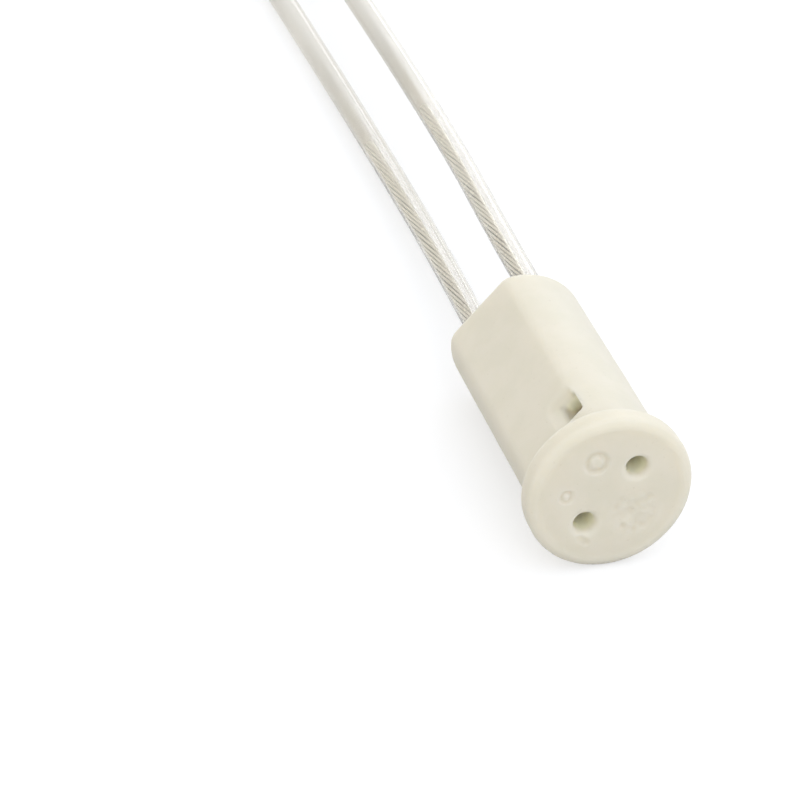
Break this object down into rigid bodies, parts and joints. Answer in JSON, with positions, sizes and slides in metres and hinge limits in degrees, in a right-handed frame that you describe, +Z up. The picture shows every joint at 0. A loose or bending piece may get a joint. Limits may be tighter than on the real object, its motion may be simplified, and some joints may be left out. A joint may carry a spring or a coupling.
{
  "type": "bi-pin lamp holder",
  "caption": "Round flanged ceramic holder for a bi-pin capsule lamp, with latched spring contacts and insulated stranded leads from the back.",
  "frame": {"origin": "on the surface that the holder lies on, under the middle of the holder's own box, leads left out", "axes": "+Z up; the face that takes the lamp looks towards -Y and about 3 degrees up, as the holder lies on its flange and its back end; the leads run off towards +Y; +X is to the right as the face is seen"},
  "size_m": [0.0142, 0.1643, 0.014],
  "materials": {
    "ceramic": "fired steatite, unglazed, faintly satin",
    "contact_nickel": "bright nickel sheet",
    "tinned_strands": "plated copper strands, twisted",
    "clear_insulation": "clear fluoropolymer tube, slightly milky"
  },
  "bodies": {
    "root": {"ceramic_body": "ceramic", "contact_left": "contact_nickel", "contact_right": "contact_nickel", "lead_conductor_left": "tinned_strands", "lead_conductor_right": "tinned_strands", "lead_insulation_left": "clear_insulation", "lead_insulation_right": "clear_insulation"}
  },
  "joints": []
}
